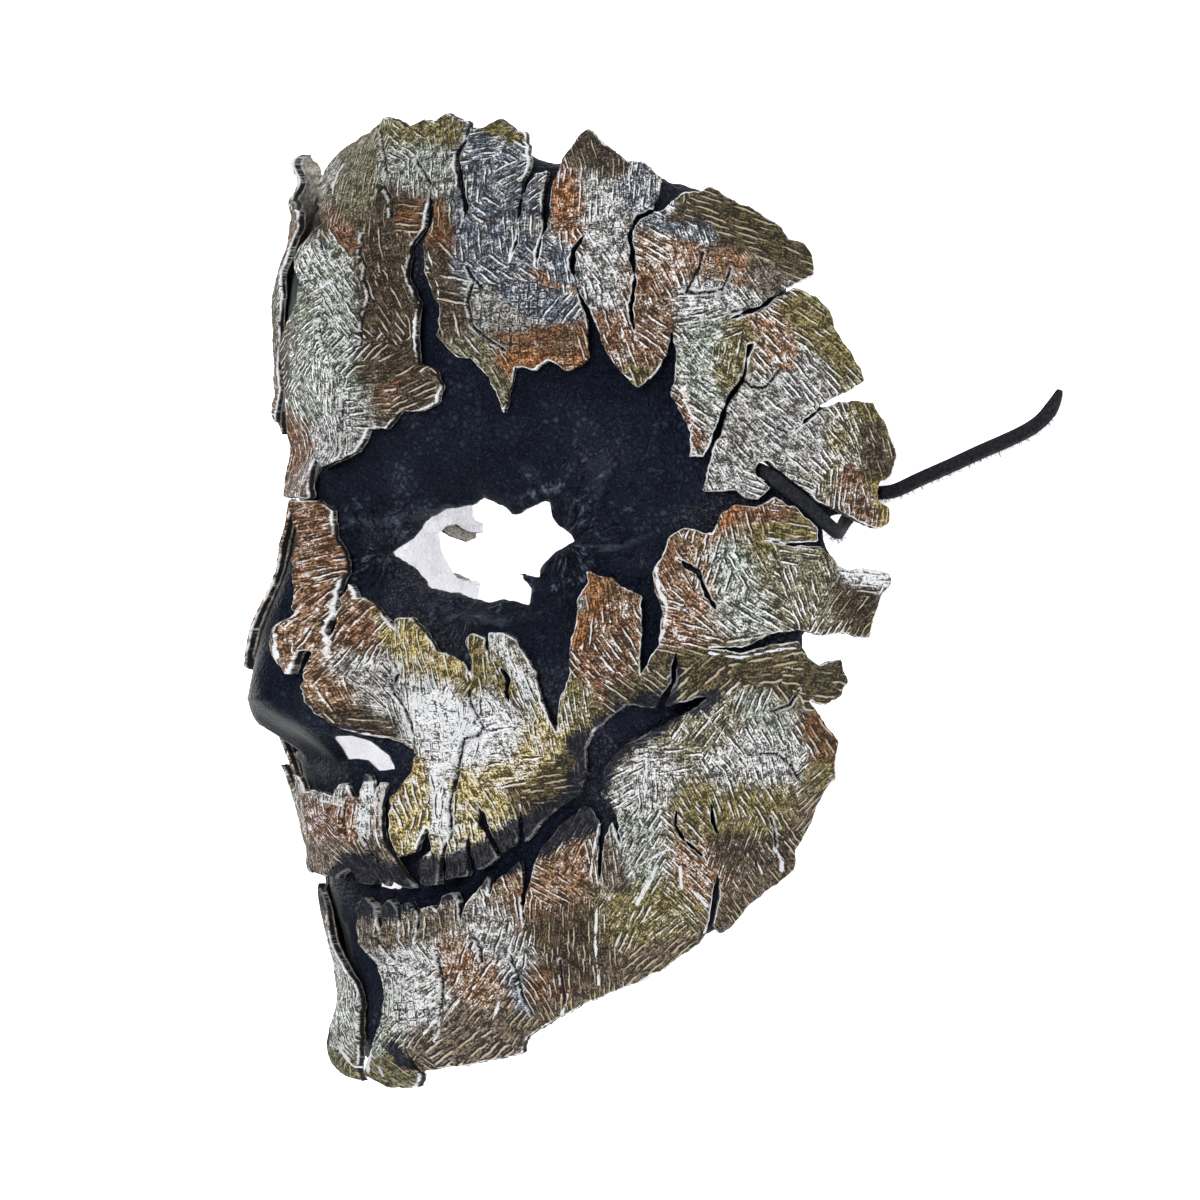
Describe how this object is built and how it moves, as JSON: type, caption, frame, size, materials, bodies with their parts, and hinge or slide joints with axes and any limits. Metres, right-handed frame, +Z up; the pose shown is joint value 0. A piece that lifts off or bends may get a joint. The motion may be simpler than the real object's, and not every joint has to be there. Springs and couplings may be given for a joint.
{
  "type": "leather face mask",
  "caption": "Full face mask of moulded black leather under torn, tooled outer sheets like cracked bark, with slit eye, nose and mouth openings and a leather lace at the temple.",
  "frame": {"origin": "middle of the mask's outline, lace apart, at the level of the surface it lies on", "axes": "+Z up, out past the nose; +Y towards the forehead; +X towards the wearer's left"},
  "size_m": [0.2514, 0.2351, 0.113],
  "materials": {
    "black_leather": "smooth moulded leather, near black, satin with a fine pebbled grain",
    "pewter_leather": "tooled leather with a worn silver and olive metallic patina and pale cut edges",
    "bronze_leather": "tooled leather with a worn bronze, rust and silver patina and pale cut edges",
    "rust_leather": "tooled leather with a rust and silver patina",
    "lace_leather": "black lace leather, smooth above with a fuzzy lower edge"
  },
  "bodies": {
    "root": {"under_mask": "black_leather", "forehead_sheet_left": "pewter_leather", "forehead_sheet_right": "pewter_leather", "cheek_sheet_left": "bronze_leather", "cheek_sheet_right": "bronze_leather", "lip_sheet": "rust_leather", "lace_left": "lace_leather"}
  },
  "joints": []
}
